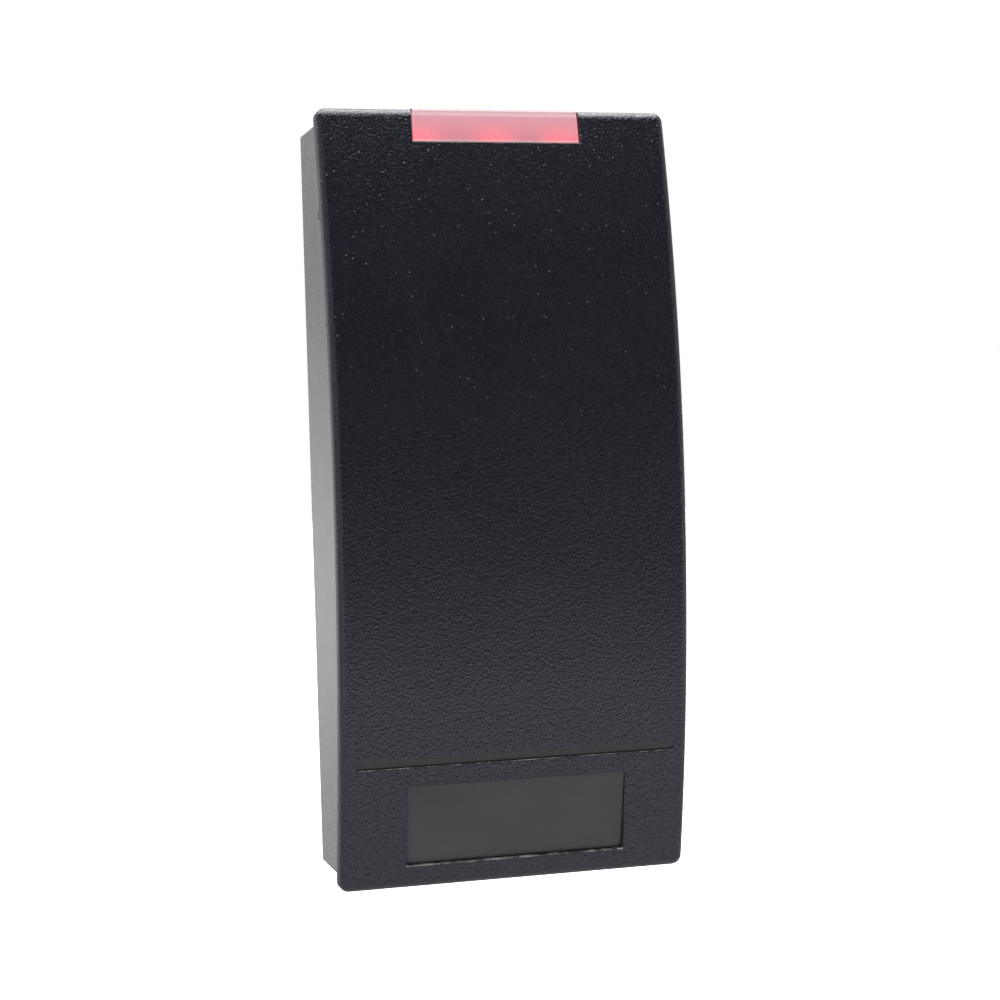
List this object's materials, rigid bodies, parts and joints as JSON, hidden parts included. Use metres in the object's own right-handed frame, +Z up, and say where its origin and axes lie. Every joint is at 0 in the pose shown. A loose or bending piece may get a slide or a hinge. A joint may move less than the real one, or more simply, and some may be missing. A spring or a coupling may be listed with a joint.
{
  "type": "rfid card reader",
  "caption": "Narrow door-frame proximity card reader with a curved textured face, lit bar at the top and blank nameplate recess, hooked on a wall mounting plate.",
  "frame": {"origin": "centre of the mounting plate's back face, which lies flat on the wall", "axes": "+Z up the reader's length, +Y into the wall, so the front faces -Y; +X to the right of somebody facing the reader"},
  "size_m": [0.0478, 0.0214, 0.103],
  "materials": {
    "cover_plastic": "fine leather-grain moulded black, slightly blue",
    "housing_plastic": "smooth satin moulded black",
    "lens": "milky diffusing light pipe, lit red from behind",
    "nameplate_plastic": "smooth satin charcoal, blank",
    "seal_rubber": "soft silicone cord, matt",
    "board": "glass-fibre board under green solder resist",
    "former_plastic": "natural nylon moulding",
    "coil_copper": "enamelled copper wire winding",
    "chip_plastic": "moulded epoxy",
    "led_plastic": "white moulded case with a clear lens",
    "can_aluminium": "drawn aluminium can",
    "terminal_plastic": "green moulded nylon",
    "screw_steel": "zinc plated steel",
    "plunger_plastic": "white acetal"
  },
  "bodies": {
    "wall_mount": {"mounting_plate": "housing_plastic"},
    "lock_screw": {"lock_screw": "screw_steel"},
    "reader": {"rear_housing": "housing_plastic", "front_cover": "cover_plastic", "light_bar_lens": "lens", "nameplate": "nameplate_plastic", "cover_seal": "seal_rubber", "main_board": "board", "antenna_former": "former_plastic", "antenna_coil": "coil_copper", "buzzer": "chip_plastic", "microcontroller": "chip_plastic", "radio_chip": "chip_plastic", "line_driver_chip": "chip_plastic", "crystal": "can_aluminium", "voltage_regulator": "chip_plastic", "power_inductor": "chip_plastic", "terminal_block": "terminal_plastic", "tamper_switch": "chip_plastic", "cover_screw_1": "screw_steel", "board_screw_1": "screw_steel", "cover_screw_2": "screw_steel", "board_screw_2": "screw_steel", "cover_screw_3": "screw_steel", "board_screw_3": "screw_steel", "cover_screw_4": "screw_steel", "board_screw_4": "screw_steel", "status_led_1": "led_plastic", "status_led_2": "led_plastic", "status_led_3": "led_plastic", "filter_capacitor_1": "can_aluminium", "filter_capacitor_2": "can_aluminium", "terminal_screw_1": "screw_steel", "terminal_screw_2": "screw_steel", "terminal_screw_3": "screw_steel", "terminal_screw_4": "screw_steel", "terminal_screw_5": "screw_steel", "terminal_screw_6": "screw_steel", "terminal_screw_7": "screw_steel", "terminal_screw_8": "screw_steel"},
    "tamper_plunger": {"tamper_plunger": "plunger_plastic"}
  },
  "joints": [
    {"name": "reader_swing", "type": "hinge", "parent": "wall_mount", "child": "reader", "pos_m": [0, -0.0003, 0.04995], "axis": [-1, 0, 0], "range_deg": [0, 25]},
    {"name": "lock_screw_travel", "type": "slide", "parent": "wall_mount", "child": "lock_screw", "axis": [0, 0, -1], "range_m": [0, 0.0022]},
    {"name": "tamper_plunger_travel", "type": "slide", "parent": "reader", "child": "tamper_plunger", "axis": [0, 1, 0], "range_m": [0, 0.0015], "stiffness_N_per_m": 150, "springref_m": 0.0025}
  ]
}
